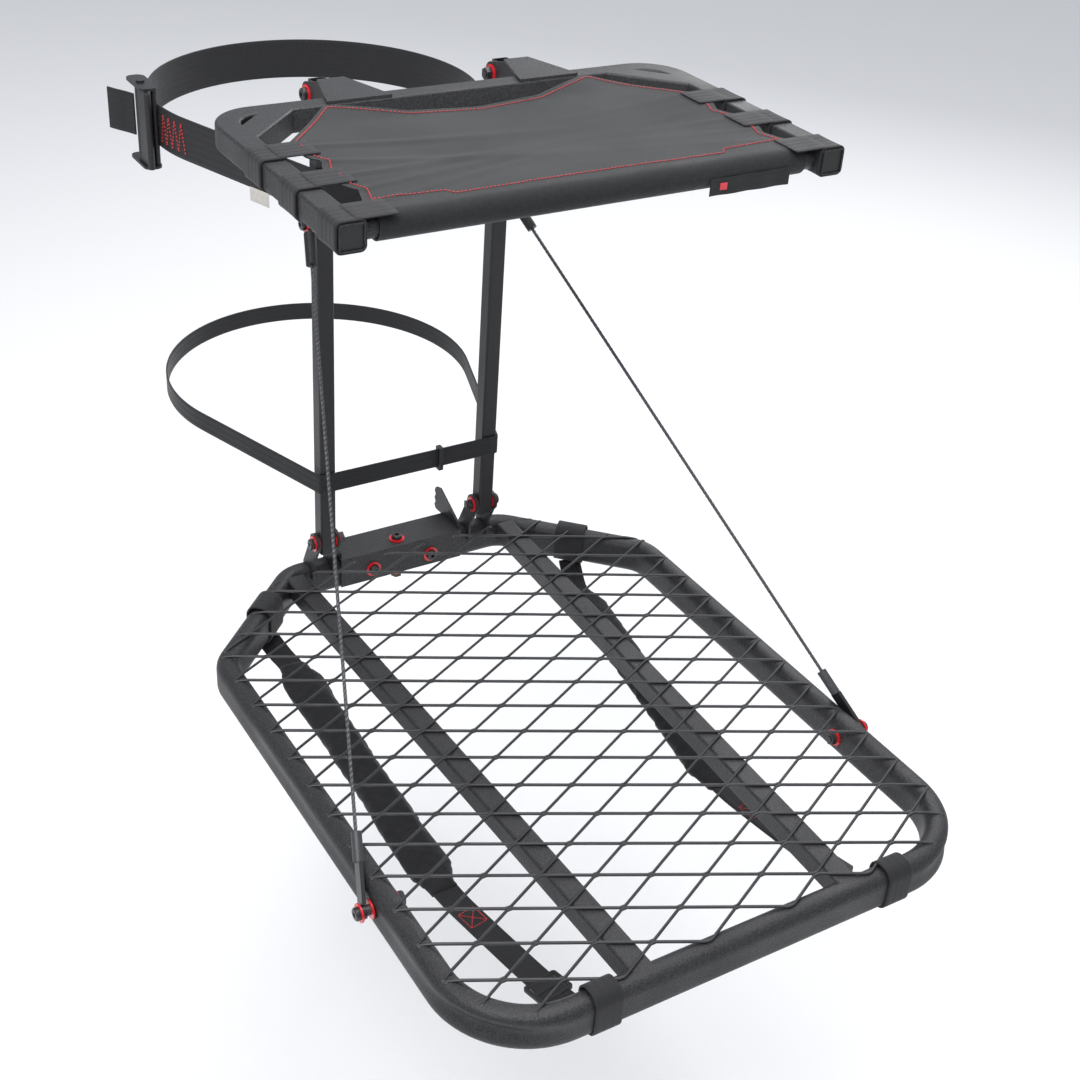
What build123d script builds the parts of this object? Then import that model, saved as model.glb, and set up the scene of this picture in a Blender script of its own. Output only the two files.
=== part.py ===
from build123d import *
import math
import os

os.makedirs("parts", exist_ok=True)

# Hang-on tree stand. Millimetres. X to the sitter's right, Y towards the trunk, Z up.
# Origin: middle of the stand, on the plane of the posts' rear faces, at standing-surface height.

# Posts
post_size = 20.0
post_wall = 1.5
post_spacing = 222.0
post_top = 614.0
pivot_y = -post_size / 2
lower_pivot_z = 41.0
upper_pivot_z = 601.0
post_end = 13.0  # post left beyond each pivot

# Platform
platform_width = 610.0
platform_front = 760.0
tube_width = 27.0
tube_height = 44.0
tube_corner = 12.0
tube_wall = 1.5
rear_tube_gap = 1.0  # from the posts' rear faces to the rear tube
diagonal_run = 150.0  # how far each 45 degree rear corner runs in
front_bend = 90.0
side_bend = 45.0
rear_bend = 40.0
bar_size = 25.0
bar_front_x = 124.0
bar_rear_x = 150.0

front_hole_r = 3.5
saddle_thick = 3.0
saddle_half = 86.0

# Expanded-metal deck
deck_thick = 3.0
strand = 3.2
diamond_long = 99.0
diamond_short = 50.0
deck_edge = 9.0  # from the frame's outer face to the strands' ends
deck_rear_gap = 5.0
loose_strand = 400.0  # offcuts smaller than this fall out when the deck is notched

# Fasteners
bolt_r = 4.0
bolt_fit = 0.05
head_r = 7.0
head_high = 5.0
head_round = 2.0
socket_across = 5.0
socket_deep = 2.5
washer_r = 10.0
washer_thick = 1.6
nut_across = 13.0
nut_high = 6.5
hinge_gap = 0.15
ear_thick = 3.5
ear_r = 13.0

# Seat
seat_width = 544.0
seat_front = 404.0
seat_rear = 84.0
seat_top = 621.0
seat_tube = 25.0
seat_wall = 1.5
seat_bend = 38.0
brace_width = 28.0
brace_inner_sum = 75.0  # |x| + y along each brace's inner edge
cross_tube_r = 11.0
cross_tube_y = -384.0
fabric_thick = 3.0
fabric_gap = 0.6
loop_width = 38.0
loop_thick = 2.2
loop_fronts = (402.0, 319.0, 241.0)
fabric_half = 230.0  # half the sling's width at a loop
scallop = 8.0  # how far the sling's edge draws in between loops
fabric_rear = (152.0, -110.0)  # rear corner
fabric_dip = -152.0  # middle of the rear edge

# Cables
cable_r = 2.0
cable_top_z = 458.0
cable_foot_y = 220.0 - platform_front
link_long = 48.0
link_wide = 15.0
link_thick = 4.0
link_standoff = 7.0
spacer_r = 5.5
swage_r = 5.5
swage_long = 30.0
sleeve_r = 6.0
sleeve_long = 38.0
eye_thick = 5.0
eye_r = 9.0
eye_standoff = 3.5

# Straps round the trunk
trunk_r = 200.0
trunk_y = 250.0
strap_thick = 2.5
strap_gap = 0.4
lower_strap_wide = 25.0
lower_strap_z = 130.0
upper_strap_wide = 50.0
keeper_x = 36.0
upper_strap_z = 497.0
buckle_y = 262.0
buckle_high = 96.0
buckle_plate = 3.0
cam_r = 7.0

# Shoulder straps
webbing = 38.0
front_webbing = 30.0
webbing_thick = 2.5
pad_wide = 58.0
pad_thick = 10.0
slider_long = 30.0
slider_thick = 3.0

sides = {"left": -1, "right": 1}
tube_top = -deck_thick
tube_mid_z = tube_top - tube_height / 2
half_tube = tube_width / 2
rear_face = rear_tube_gap + tube_width
ear_inner = post_size / 2 + hinge_gap + washer_thick
ear_outer = ear_inner + ear_thick


def cyl(r, length, at, axis=(0, 0, 1)):
    """A solid round bar that starts at a point and runs along an axis."""
    return extrude(Plane(origin=at, z_dir=axis) * Circle(r), length)


def ring(r, hole, length, at, axis=(0, 0, 1)):
    return cyl(r, length, at, axis) - cyl(hole, length, at, axis)


def hexagon(across, length, at, axis):
    return extrude(Plane(origin=at, z_dir=axis) * RegularPolygon(across / 2, 6, major_radius=False), length)


def block(low, high):
    size = [high[i] - low[i] for i in range(3)]
    middle = [(high[i] + low[i]) / 2 for i in range(3)]
    return Pos(*middle) * Box(*size)


def save(shape, name):
    export_step(shape, f"parts/{name}.step")


def group(shapes):
    return Compound(children=[solid for shape in shapes for solid in shape.solids()])


def bolt(head_at, axis, grip):
    """Round-headed socket bolt: the head ends at head_at and the shank runs on along axis."""
    direction = Vector(*axis)
    start = Vector(*head_at)
    shank = cyl(bolt_r, grip, start, direction)
    head = cyl(head_r, head_high, start, direction * -1)
    head = fillet(head.faces().sort_by(Axis(start, direction))[0].edges(), head_round)
    crown = start - direction * head_high
    return head + shank - hexagon(socket_across, socket_deep, crown, direction)


def nut(at, axis):
    body = hexagon(nut_across, nut_high, at, axis)
    return body - cyl(bolt_r + bolt_fit, nut_high, at, axis)


# ---------------------------------------------------------------- posts
def post(side):
    x = side * post_spacing / 2
    foot = lower_pivot_z - post_end
    plane = Plane(origin=(x, pivot_y, foot))
    inside = post_size - 2 * post_wall
    outer = extrude(plane * RectangleRounded(post_size, post_size, 2.5), post_top - foot)
    shape = outer - extrude(plane * RectangleRounded(inside, inside, 1.0), post_top - foot)
    for z in (lower_pivot_z, upper_pivot_z, cable_top_z):
        shape -= cyl(bolt_r + bolt_fit, post_size + 2, (x - post_size / 2 - 1, pivot_y, z), (1, 0, 0))
    return shape


def trunk_loop(front, gap, thick, wide, z):
    """Closed band that hugs both posts and the trunk behind them."""
    half = post_spacing / 2 + post_size / 2
    corners = [(-half, -front), (half, -front), (half, 0), (-half, 0)]
    edges = Polyline(*corners, close=True).edges() + CenterArc((0, trunk_y), trunk_r, 0, 360).edges()
    hull = make_hull(edges)
    face = offset(hull, gap + thick) - offset(hull, gap)
    return extrude(Plane(origin=(0, 0, z - wide / 2)) * face, wide)


def lower_strap():
    return trunk_loop(post_size, strap_gap, strap_thick, lower_strap_wide, lower_strap_z)


def upper_strap():
    return trunk_loop(post_size, strap_gap, strap_thick, upper_strap_wide, upper_strap_z)


def strap_keeper():
    """Sliding keeper on the lower strap between the posts."""
    front = -post_size - strap_gap - strap_thick
    low = lower_strap_z - lower_strap_wide / 2
    high = lower_strap_z + lower_strap_wide / 2
    outside = block((keeper_x, front - 4.5, low - 3), (keeper_x + 6, front + strap_thick + 3.0, high + 3))
    inside = block((keeper_x, front - 2.2, low - 0.5), (keeper_x + 6, front + strap_thick + 0.3, high + 0.5))
    return outside - inside


# ---------------------------------------------------------------- buckle on the upper strap
buckle_x = -(trunk_r + strap_gap + strap_thick)
cam_pivot = (buckle_x - 13.0, buckle_y)


def buckle_frame():
    """Two side plates and two bars that the strap passes round."""
    x_in = buckle_x - 0.6
    low = upper_strap_z - buckle_high / 2
    plate = Pos(x_in - 11, buckle_y, low) * extrude(RectangleRounded(22, 58, 9), buckle_plate)
    upper = Pos(0, 0, buckle_high - buckle_plate) * plate
    shape = plate + upper
    for dx, dy, r in ((-5, 22, 3.5), (-5, -22, 3.5)):
        shape += cyl(r, buckle_high, (x_in + dx, buckle_y + dy, low))
    for z in (low, low + buckle_high - buckle_plate):
        shape -= cyl(3.0 + bolt_fit, buckle_plate, (*cam_pivot, z))
    return shape


def buckle_cam():
    """Cam and thumb lever that grips the strap's tail."""
    clear = 0.5
    low = upper_strap_z - buckle_high / 2 + buckle_plate + clear
    high = buckle_high - 2 * (buckle_plate + clear)
    barrel = cyl(cam_r, high, (*cam_pivot, low))
    lever = block((cam_pivot[0] - 6, cam_pivot[1] - 36, low), (cam_pivot[0] - 2, cam_pivot[1], low + high))
    tip = cyl(4.0, high, (cam_pivot[0] - 5, cam_pivot[1] - 36, low))
    return barrel + lever + tip - cyl(3.0 + bolt_fit, high, (*cam_pivot, low))


def buckle_pin():
    low = upper_strap_z - buckle_high / 2
    pin = cyl(3.0, buckle_high + 2, (*cam_pivot, low - 1))
    for z in (low - 2.5, low + buckle_high):
        pin += cyl(5.0, 2.5, (*cam_pivot, z))
    return pin


def strap_tail():
    """Free end of the strap, past the buckle."""
    start_x = buckle_x - 12
    start_y = buckle_y + 31
    half = upper_strap_wide / 2
    line = Polyline((start_x, start_y), (start_x - 11, start_y + 20), (start_x - 20, start_y + 38))
    return extrude(Plane(origin=(0, 0, upper_strap_z - half)) * trace(line, strap_thick), upper_strap_wide)


# ---------------------------------------------------------------- platform
def frame_corners():
    """Corners of the platform tube's centre line, from the rear right one, clockwise from above."""
    half = platform_width / 2
    ease = half_tube * math.tan(math.radians(22.5))
    side_y = rear_face - diagonal_run - ease
    rear_x = half - diagonal_run - ease
    x = half - half_tube
    rear_y = rear_face - half_tube
    front_y = -platform_front + half_tube
    return [(rear_x, rear_y), (x, side_y), (x, front_y), (-x, front_y), (-x, side_y), (-rear_x, rear_y)]


def frame_path():
    bends = [rear_bend, side_bend, front_bend, front_bend, side_bend, rear_bend]
    points = [(x, y, tube_mid_z) for x, y in frame_corners()]
    return FilletPolyline(*points, radius=bends, close=True)


def frame_tube(shrink):
    path = frame_path()
    plane = Plane(origin=path @ 0, z_dir=path % 0, x_dir=(0, 1, 0))
    section = RectangleRounded(tube_width - 2 * shrink, tube_height - 2 * shrink, tube_corner - shrink)
    return sweep(plane * section, path=path)


frame_outer = frame_tube(0)


def rail_bolt_hole(side):
    x = side * platform_width / 2
    return cyl(bolt_r + bolt_fit, tube_width + 4, (x + 2 * side, cable_foot_y, tube_mid_z), (-side, 0, 0))


def saddle_bolt_places():
    """Through-bolts of the trunk bracket: point where each shank starts, its axis, and its grip."""
    front = rear_tube_gap - saddle_thick
    return [
        ((-41, front, tube_mid_z), (0, 1, 0), tube_width + saddle_thick),
        ((41, front, tube_mid_z), (0, 1, 0), tube_width + saddle_thick),
        ((0, rear_tube_gap + half_tube, tube_top + saddle_thick), (0, 0, -1), tube_height + saddle_thick),
    ]


def weld_lengths():
    """The tube is welded up from a front U, two straight rails and a rear piece."""
    far = platform_front + platform_width
    low, high = tube_top - tube_height - 1, tube_top + 1
    front_y = -platform_front + half_tube + front_bend + 12
    rear_y = rear_face - diagonal_run - side_bend
    return [
        block((-far, -far, low), (far, front_y, high)),
        block((-far, front_y, low), (0, rear_y, high)),
        block((0, front_y, low), (far, rear_y, high)),
        block((-far, rear_y, low), (far, far, high)),
    ]


def platform_frame():
    shape = frame_outer - frame_tube(tube_wall)
    for side in sides.values():
        shape -= rail_bolt_hole(side)
    for start, axis, grip in saddle_bolt_places():
        shape -= cyl(bolt_r + bolt_fit, grip + 4, Vector(*start) - Vector(*axis) * 2, axis)
    hole_y = -platform_front - 1
    shape -= cyl(front_hole_r, tube_wall + 2, (0, hole_y, tube_mid_z), (0, 1, 0))
    return group([shape & place for place in weld_lengths()])


def bar_line(side):
    front = Vector(side * bar_front_x, -platform_front + half_tube, tube_top - bar_size / 2)
    rear = Vector(side * bar_rear_x, rear_tube_gap + half_tube - 20, tube_top - bar_size / 2)
    return front, rear


def platform_bar(side):
    front, rear = bar_line(side)
    along = (rear - front).normalized()
    plane = Plane(origin=front, z_dir=along, x_dir=(along.Y, -along.X, 0))
    outer = extrude(plane * RectangleRounded(bar_size, bar_size, 3), (rear - front).length)
    inner = extrude(plane * RectangleRounded(bar_size - 4, bar_size - 4, 1), (rear - front).length)
    body = outer - frame_outer
    body = max(body.solids(), key=lambda solid: solid.volume)
    return body - inner


def deck_outline():
    """Where the strands stop: on the crown of the frame, and short of the rear brackets."""
    half = platform_width / 2 - deck_edge
    front = -platform_front + deck_edge
    diagonal_sum = platform_width / 2 + rear_face - diagonal_run - deck_edge * math.sqrt(2)
    rear = rear_tube_gap - saddle_thick - deck_rear_gap
    inner = post_spacing / 2
    points = [(half, front), (half, diagonal_sum - half), (diagonal_sum - rear, rear), (inner, rear)]
    outline = make_face(Polyline(*points, *[(-x, y) for x, y in reversed(points)], close=True))
    front_corners = outline.vertices().sort_by(Axis.Y)[:2]
    return fillet(front_corners, front_bend + half_tube - deck_edge)


def deck():
    """Expanded metal: a flat sheet with rows of diamond openings, staggered by half a diamond."""
    sheet = deck_outline()
    half_long = diamond_long / 2
    slope = math.hypot(half_long, diamond_short / 2)
    inset = strand / 2 * slope
    dx = half_long - inset / (diamond_short / 2)
    dy = diamond_short / 2 - inset / half_long
    first = -platform_front + 39
    openings = []
    for column in range(-7, 8):
        for row in range(-2, 17):
            x = column * half_long
            y = first + row * diamond_short + (column % 2) * diamond_short / 2
            openings.append(Pos(x, y) * make_face(Polyline((dx, 0), (0, dy), (-dx, 0), (0, -dy), close=True)))
    net = extrude(Pos(0, 0, -deck_thick) * (sheet - openings), deck_thick)
    for side in sides.values():
        net -= rear_wrap(side, deck_thick + 0.6)
        net -= front_wrap(side, deck_thick + 0.6)
    return group([solid for solid in net.solids() if solid.volume > loose_strand])


def platform_ear(x, facing):
    """Hinge plate that rises from the rear tube to the lower pivot."""
    base = tube_top - 16
    front = [(pivot_y - ear_r, lower_pivot_z), (rear_tube_gap - 6, 6), (rear_tube_gap - 5, base)]
    back = [(rear_face - 3, base), (rear_face - 3, tube_top), (pivot_y + ear_r, lower_pivot_z)]
    outline = Polyline(*front, *back, close=True)
    plane = Plane(origin=(x, 0, 0), x_dir=(0, 1, 0), z_dir=(1, 0, 0))
    face = make_face(outline) + Pos(pivot_y, lower_pivot_z) * Circle(ear_r)
    return extrude(plane * face, ear_thick * facing)


def lower_hinge_ears(side):
    x = side * post_spacing / 2
    shapes = []
    for facing in (-1, 1):
        ear = platform_ear(x + facing * ear_inner, facing) - frame_outer
        start = (x + facing * (ear_inner - 1), pivot_y, lower_pivot_z)
        ear -= cyl(bolt_r + bolt_fit, ear_thick + 2, start, (facing, 0, 0))
        shapes.append(max(ear.solids(), key=lambda solid: solid.volume))
    return group(shapes)


def trunk_bracket():
    """Saddle over the rear tube, with an upright toothed blade at each end that bites the bark."""
    front = rear_tube_gap - saddle_thick
    back = rear_face + 18
    top = tube_top + saddle_thick
    shape = block((-saddle_half, front, tube_top), (saddle_half, back, top))
    shape += block((-saddle_half, front, tube_top - 38), (saddle_half, rear_tube_gap, top))
    reach = trunk_y - math.sqrt(trunk_r**2 - saddle_half**2) - 1
    teeth = [(reach - 3 * (i % 2), top + 2 + 5.5 * i) for i in range(6)]
    foot = [(front + 6, top), (reach - 4, tube_top)]
    blade = Polyline(*foot, *teeth, (reach - 14, top + 33), (front + 6, top + 8), close=True)
    for side in sides.values():
        plane = Plane(origin=(side * saddle_half, 0, 0), x_dir=(0, 1, 0), z_dir=(1, 0, 0))
        shape += extrude(plane * make_face(blade), -side * saddle_thick)
    for start, axis, grip in saddle_bolt_places():
        shape -= cyl(bolt_r + bolt_fit, grip + 4, Vector(*start) - Vector(*axis) * 2, axis)
    return shape - frame_outer


def trunk_bracket_fasteners():
    bolts, washers, nuts = [], [], []
    for start, axis, grip in saddle_bolt_places():
        start, axis = Vector(*start), Vector(*axis)
        washers.append(ring(washer_r, bolt_r + bolt_fit, washer_thick, start - axis * washer_thick, axis))
        end = start + axis * grip
        washers.append(ring(washer_r, bolt_r + bolt_fit, washer_thick, end, axis))
        bolts.append(bolt(start - axis * washer_thick, axis, grip + 2 * washer_thick + nut_high + 1))
        nuts.append(nut(end + axis * washer_thick, axis))
    return bolts, washers, nuts


# ---------------------------------------------------------------- hinges
def hinge_fasteners(z):
    """Bolt head outside, nut inside, a washer on both sides of each ear."""
    bolts, washers, nuts = [], [], []
    for side in sides.values():
        x = side * post_spacing / 2
        axis = Vector(-side, 0, 0)
        head_at = Vector(x + side * (ear_outer + washer_thick), pivot_y, z)
        bolts.append(bolt(head_at, axis, 2 * (ear_outer + washer_thick) + nut_high + 1))
        nuts.append(nut((x - side * (ear_outer + washer_thick), pivot_y, z), axis))
        for start in (ear_outer, -ear_outer - washer_thick, ear_inner - washer_thick, -ear_inner):
            at = (x + start, pivot_y, z)
            washers.append(ring(washer_r, bolt_r + bolt_fit, washer_thick, at, (1, 0, 0)))
    return bolts, washers, nuts


# ---------------------------------------------------------------- seat
seat_mid_z = seat_top - seat_tube / 2
arm_x = seat_width / 2 - seat_tube / 2
rear_bar_y = -seat_rear - seat_tube / 2


def seat_path():
    points = [(-arm_x, -seat_front), (-arm_x, rear_bar_y), (arm_x, rear_bar_y), (arm_x, -seat_front)]
    return FilletPolyline(*[(x, y, seat_mid_z) for x, y in points], radius=seat_bend)


def seat_loop(size, corner):
    path = seat_path()
    plane = Plane(origin=path @ 0, z_dir=path % 0, x_dir=(1, 0, 0))
    return sweep(plane * RectangleRounded(size, size, corner), path=path)


seat_outer = seat_loop(seat_tube, 3)


def seat_frame():
    return seat_outer - seat_loop(seat_tube - 2 * seat_wall, 1)


def corner_brace(side):
    """Square tube across each rear corner, from the arm to the rear bar."""
    middle_sum = brace_inner_sum + brace_width / math.sqrt(2)
    start = Vector(side * arm_x, middle_sum - arm_x, seat_mid_z)
    end = Vector(side * (middle_sum - rear_bar_y), rear_bar_y, seat_mid_z)
    along = (end - start).normalized()
    plane = Plane(origin=start, z_dir=along, x_dir=(along.Y, -along.X, 0))
    outer = extrude(plane * RectangleRounded(brace_width, seat_tube, 3), (end - start).length)
    inner = extrude(plane * RectangleRounded(brace_width - 4, seat_tube - 4, 1), (end - start).length)
    body = max((outer - seat_outer).solids(), key=lambda solid: solid.volume)
    return body - inner


def cross_tube():
    half = arm_x - seat_tube / 2
    at = (-half, cross_tube_y, seat_mid_z)
    return ring(cross_tube_r, cross_tube_r - seat_wall, 2 * half, at, (1, 0, 0))


def arm_plugs():
    size = seat_tube - 2 * seat_wall
    shapes = []
    for side in sides.values():
        plane = Plane(origin=(side * arm_x, -seat_front + 1.5, seat_mid_z), z_dir=(0, 1, 0), x_dir=(1, 0, 0))
        plug = extrude(plane * RectangleRounded(size - 0.2, size - 0.2, 0.8), 14)
        inner = Plane(origin=(side * arm_x, -seat_front + 4, seat_mid_z), z_dir=(0, 1, 0), x_dir=(1, 0, 0))
        shapes.append(plug - extrude(inner * RectangleRounded(size - 4, size - 4, 0.5), 14))
    return group(shapes)


def seat_ear(x, facing):
    rear = -seat_rear
    plane = Plane(origin=(x, 0, 0), x_dir=(0, 1, 0), z_dir=(1, 0, 0))
    lower = [(pivot_y, upper_pivot_z - ear_r), (pivot_y - 15.5, upper_pivot_z - 26)]
    lower.append((rear, seat_top - seat_tube + 1))
    upper = [(rear, seat_top), (pivot_y - ear_r - 12, seat_top), (pivot_y, upper_pivot_z + ear_r)]
    outline = Polyline(*lower, *upper, close=True)
    face = make_face(outline) + Pos(pivot_y, upper_pivot_z) * Circle(ear_r)
    return extrude(plane * face, ear_thick * facing)


def seat_hinge_bracket(side):
    """Two ears joined by a top plate that laps the rear bar and a low web that stops on the post."""
    x = side * post_spacing / 2
    shape = seat_ear(x - ear_inner, -1) + seat_ear(x + ear_inner, 1)
    lap = -seat_rear - seat_tube + 2
    plane = Plane(origin=(x, 0, seat_top))
    wing = Polyline((-ear_outer, pivot_y - 26), (ear_outer, pivot_y - 26), (36, lap), (-36, lap), close=True)
    shape += extrude(plane * make_face(wing), 3)
    stop = -post_size - 0.3
    shape += block((x - ear_inner, stop - 3.5, upper_pivot_z - 25), (x + ear_inner, stop, upper_pivot_z - 14))
    for facing in (-1, 1):
        start = (x + facing * (ear_inner - 1), pivot_y, upper_pivot_z)
        shape -= cyl(bolt_r + bolt_fit, ear_thick + 2, start, (facing, 0, 0))
    return shape


def fabric_outline():
    """Sling's edge on the right, from the middle of the rear edge to the front corner."""
    points = [(0, fabric_dip), (fabric_rear[0] * 0.5, fabric_dip + 9), fabric_rear]
    for front in reversed(loop_fronts):
        points += [(fabric_half, loop_width - front), (fabric_half, -front)]
        points.append((fabric_half - scallop, -front - loop_width / 2))
    return points[:-1]


def seat_fabric():
    """Flat sling between the arms; its front edge rolls over the cross tube."""
    right = fabric_outline()
    outline = right + [(-x, y) for x, y in reversed(right[1:])]
    face = make_face(Polyline(*outline, close=True))
    base = seat_mid_z + cross_tube_r + fabric_gap
    sheet = extrude(Pos(0, 0, base) * face, fabric_thick)
    past_front = -seat_front - 9
    sheet -= block((-seat_width, past_front, base - 1), (seat_width, cross_tube_y, base + fabric_thick + 1))
    around = cross_tube_r + fabric_gap
    start = (-fabric_half, cross_tube_y, seat_mid_z)
    roll = ring(around + fabric_thick, around, 2 * fabric_half, start, (1, 0, 0))
    low = (-fabric_half, cross_tube_y - 40, seat_mid_z - 40)
    return sheet + (roll & block(low, (fabric_half, cross_tube_y, seat_mid_z + 40)))


def webbing_loops(side):
    """Three bands that carry the sling on one arm, each with a tab that reaches the sling's edge."""
    hole = seat_tube + 0.4
    outside = hole + 2 * loop_thick
    tab_z = seat_mid_z + cross_tube_r + fabric_gap
    passage = cyl(cross_tube_r + 0.4, seat_width, (-seat_width / 2, cross_tube_y, seat_mid_z), (1, 0, 0))
    shapes = []
    for front in loop_fronts:
        plane = Plane(origin=(side * arm_x, -front, seat_mid_z), z_dir=(0, 1, 0), x_dir=(1, 0, 0))
        band = extrude(plane * RectangleRounded(outside, outside, 3.5), loop_width)
        ends = sorted((side * (fabric_half + 0.3), side * arm_x))
        band += block((ends[0], -front, tab_z), (ends[1], loop_width - front, tab_z + loop_thick))
        band -= extrude(plane * RectangleRounded(hole, hole, 3.0), loop_width)
        shapes.append(band - passage)
    return group(shapes)


# ---------------------------------------------------------------- cables
def cable_ends(side):
    """Anchor points of one cable: on its upper bolt and on its lower bolt."""
    upper_x = post_spacing / 2 + post_size / 2 + eye_standoff + eye_thick / 2
    upper = Vector(side * upper_x, pivot_y, cable_top_z)
    lower = Vector(side * (platform_width / 2 + link_standoff + link_thick / 2), cable_foot_y, tube_mid_z)
    return upper, lower


def cable_frame(side, from_lower):
    upper, lower = cable_ends(side)
    start, end = (lower, upper) if from_lower else (upper, lower)
    along = (end - start).normalized()
    return start, along


def slat(origin, along, wide, thick, length):
    """Flat bar that starts at origin and runs along a direction, its flat side facing X."""
    across = along.cross(Vector(1, 0, 0)).normalized()
    plane = Plane(origin=origin, z_dir=along, x_dir=across)
    return extrude(plane * Rectangle(wide, thick), length)


def cable_link(side):
    """Stirrup that joins the swaged cable end to the rail bolt."""
    start, along = cable_frame(side, True)
    shape = slat(start + along * 6.5, along, link_wide, link_thick, link_long - 6.5)
    shape += cyl(link_wide / 2, link_thick, start - Vector(link_thick / 2, 0, 0), (1, 0, 0))
    return shape - cyl(bolt_r + 0.6, 40, start - Vector(20, 0, 0), (1, 0, 0))


def cable_swage(side):
    start, along = cable_frame(side, True)
    return cyl(swage_r, swage_long, start + along * link_long, along)


def cable_eye(side):
    """Upper eye on the post bolt, with the sleeve that covers the crimp."""
    start, along = cable_frame(side, False)
    half = eye_thick / 2
    eye = ring(eye_r, bolt_r + 0.4, eye_thick, start - Vector(half, 0, 0), (1, 0, 0))
    sleeve = cyl(sleeve_r, sleeve_long, start + along * (eye_r + 3.5), along)
    clear = cyl(bolt_r + 0.4, eye_thick + 8, start - Vector(half + 4, 0, 0), (1, 0, 0))
    post_side = start.X - side * (eye_thick / 2)
    neck = slat(start + along * (eye_r - 3), along, 9, eye_thick - 0.5, 8)
    shape = eye + sleeve + neck - clear
    wall = sorted((post_side, 0.0))
    shape -= block((wall[0], -60, 380), (wall[1], 60, 500))
    outer_washer = start + Vector(side * (half + 0.2), 0, 0)
    return shape - cyl(washer_r + 0.5, washer_thick + 0.8, outer_washer, (side, 0, 0))


def cable_wire(side):
    upper, lower = cable_ends(side)
    along = (lower - upper).normalized()
    start = upper + along * (eye_r + 3.5 + sleeve_long)
    end = lower - along * (link_long + swage_long)
    return cyl(cable_r, (end - start).length, start, along)


def cable_fastening(face, out, wall, stack):
    """One bolt through a wall, its nut inside, with washers under the nut, the head and the hardware."""
    inner = face - out * wall
    hole = bolt_r + bolt_fit
    washers = [ring(washer_r, hole, washer_thick, face, out)]
    washers.append(ring(washer_r, hole, washer_thick, face + out * stack, out))
    washers.append(ring(washer_r, hole, washer_thick, inner, out * -1))
    grip = stack + 2 * washer_thick + wall + nut_high + 1
    shank = bolt(face + out * (stack + washer_thick), out * -1, grip)
    return shank, washers, nut(inner - out * washer_thick, out * -1)


def cable_fasteners():
    """Bolts, washers, spacers and nuts at both ends of both cables."""
    upper, lower = [], []
    washers_up, washers_low, nuts_up, nuts_low, spacers = [], [], [], [], []
    for side in sides.values():
        out = Vector(side, 0, 0)
        face = Vector(side * (post_spacing / 2 + post_size / 2), pivot_y, cable_top_z)
        shank, washers, locknut = cable_fastening(face, out, post_size, eye_standoff + eye_thick + 0.6)
        upper.append(shank)
        washers_up += washers
        nuts_up.append(locknut)
        face = Vector(side * platform_width / 2, cable_foot_y, tube_mid_z)
        shank, washers, locknut = cable_fastening(face, out, tube_width, link_standoff + link_thick + 0.4)
        lower.append(shank)
        washers_low += washers
        nuts_low.append(locknut)
        standoff = link_standoff - washer_thick - 0.4
        spacers.append(ring(spacer_r, bolt_r + bolt_fit, standoff, face + out * washer_thick, out))
    return upper, washers_up, nuts_up, lower, washers_low, nuts_low, spacers


# ---------------------------------------------------------------- shoulder straps
def band_round_frame(middle, along, wide, thick):
    """Webbing wrapped once round the frame tube and the strand ends on its crown."""
    centre = Vector(*middle, tube_mid_z + deck_thick / 2)
    plane = Plane(origin=centre, z_dir=along, x_dir=Vector(*along).cross(Vector(0, 0, 1)))
    inner_w = tube_width + 0.6
    inner_h = tube_height + deck_thick + 0.6
    outer = RectangleRounded(inner_w + 2 * thick, inner_h + 2 * thick, tube_corner + thick)
    inner = RectangleRounded(inner_w, inner_h, tube_corner)
    return extrude(plane * (outer - inner), wide / 2, both=True)


def ribbon(start, end, drops, wide, thick):
    """Flat strap from start to end, its height given at even steps by drops."""
    start, end = Vector(*start), Vector(*end)
    flat = end - start
    length = flat.length
    along = flat.normalized()
    steps = len(drops) - 1
    line = Polyline(*[(length * i / steps, drops[i]) for i in range(steps + 1)])
    plane = Plane(origin=start, x_dir=along, z_dir=along.cross(Vector(0, 0, 1)))
    return extrude(plane * trace(line, thick), wide / 2, both=True)


def strap_points(side):
    """Plan route of one shoulder strap under the deck: rear wrap, pad's two ends, front wrap."""
    half = platform_width / 2
    corner_x, corner_y = frame_corners()[0]
    front_y = -platform_front + half_tube
    pad_front_y = -0.68 * platform_front
    if side < 0:
        rear_x, start_x, end_x, front_x = 98 - half, 109 - half, 95 - half, 133 - half
    else:
        rear_x, start_x, end_x, front_x = half - 83, half - 101, half - 162, half - 127
    rear_y = corner_x + corner_y - abs(rear_x)
    return (rear_x, rear_y), (start_x, rear_y - 50), (end_x, pad_front_y), (front_x, front_y)


def under_tube():
    return tube_top - tube_height - 0.6 - webbing_thick


def shoulder_pad(side):
    rear, pad_start, pad_end, front = strap_points(side)
    depth = under_tube() - 8
    drops = [depth, depth - 10, depth - 15, depth - 15, depth - 10]
    return ribbon((*pad_start, 0), (*pad_end, 0), drops, pad_wide, pad_thick)


def rear_wrap(side, extra=0.0):
    rear, pad_start, pad_end, front = strap_points(side)
    return band_round_frame(rear, Vector(1, -side, 0).normalized(), webbing + extra, webbing_thick + extra)


def front_wrap(side, extra=0.0):
    rear, pad_start, pad_end, front = strap_points(side)
    return band_round_frame(front, Vector(1, 0, 0), front_webbing + extra, webbing_thick + extra)


def rear_drop(side):
    """Webbing from the rear wrap down to the pad."""
    rear, pad_start, pad_end, front = strap_points(side)
    heights = [under_tube() - webbing_thick / 2 - 0.4, under_tube() - 8]
    strap = ribbon((*rear, 0), (*pad_start, 0), heights, webbing, webbing_thick)
    return strap - shoulder_pad(side)


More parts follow.
